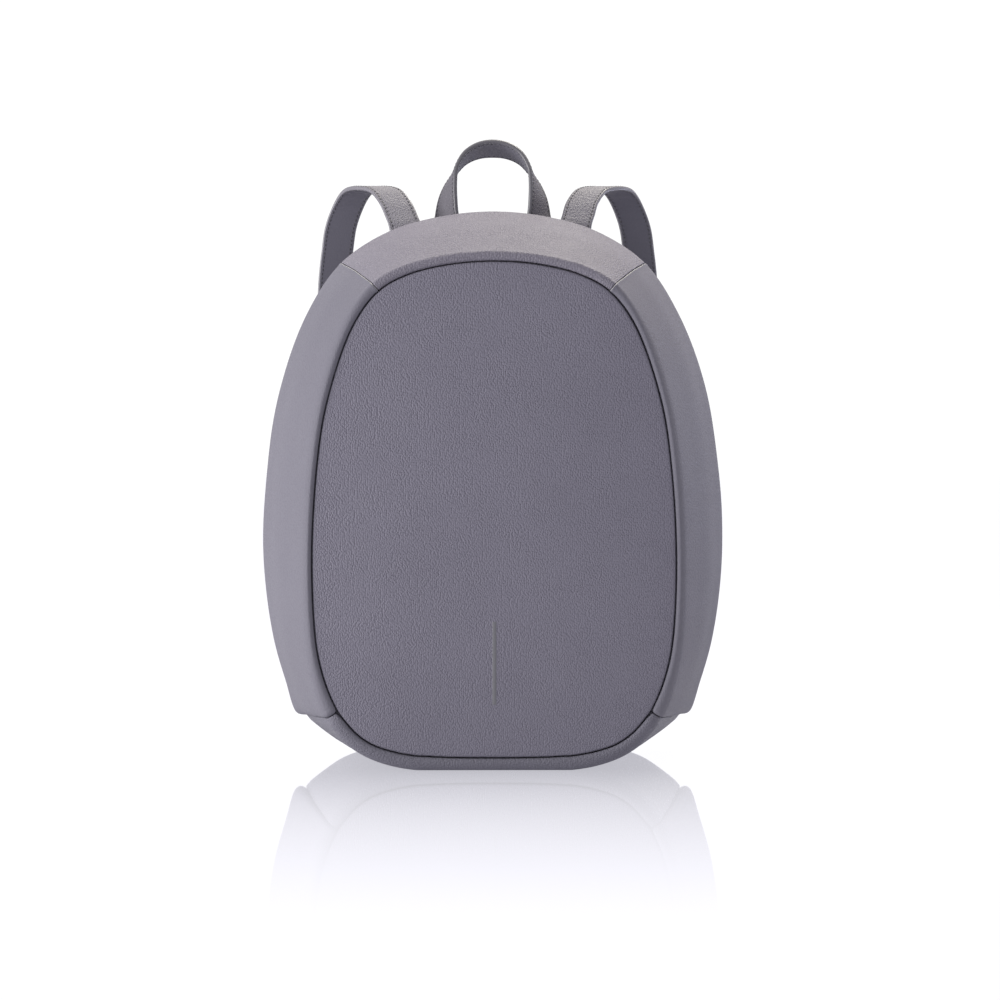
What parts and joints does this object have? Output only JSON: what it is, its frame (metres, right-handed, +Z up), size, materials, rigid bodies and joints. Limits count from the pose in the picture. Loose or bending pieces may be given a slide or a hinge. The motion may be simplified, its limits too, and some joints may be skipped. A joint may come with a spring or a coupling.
{
  "type": "anti-theft backpack",
  "caption": "Egg-shaped anti-theft backpack with a domed front panel in a padded rim, flared gusset walls, a hidden zip round the back panel, a carry handle and shoulder straps.",
  "frame": {"origin": "middle of the flat base, on the surface that the backpack stands on", "axes": "+Z up, +X to the right seen from the front, the front faces -Y and the shoulder straps are on the +Y side"},
  "size_m": [0.306, 0.1864, 0.4088],
  "materials": {
    "front_leather": "satin pebbled grain",
    "pebbled_leather": "satin pebbled grain",
    "smooth_leather": "satin smooth grain",
    "strap_leather": "satin pebbled grain, painted edges",
    "back_fabric": "matt spacer mesh",
    "zip_tape": "woven tape with a nylon coil",
    "pull_metal": "satin gunmetal",
    "reflective_film": "grey glass-bead film"
  },
  "bodies": {
    "root": {"front_panel": "front_leather", "reflective_strip": "reflective_film", "top_gusset": "pebbled_leather", "left_gusset": "smooth_leather", "right_gusset": "smooth_leather", "base_gusset": "pebbled_leather", "back_panel": "back_fabric", "zip": "zip_tape", "zip_pull": "pull_metal", "carry_handle": "strap_leather", "left_shoulder_strap": "strap_leather", "right_shoulder_strap": "strap_leather"}
  },
  "joints": []
}
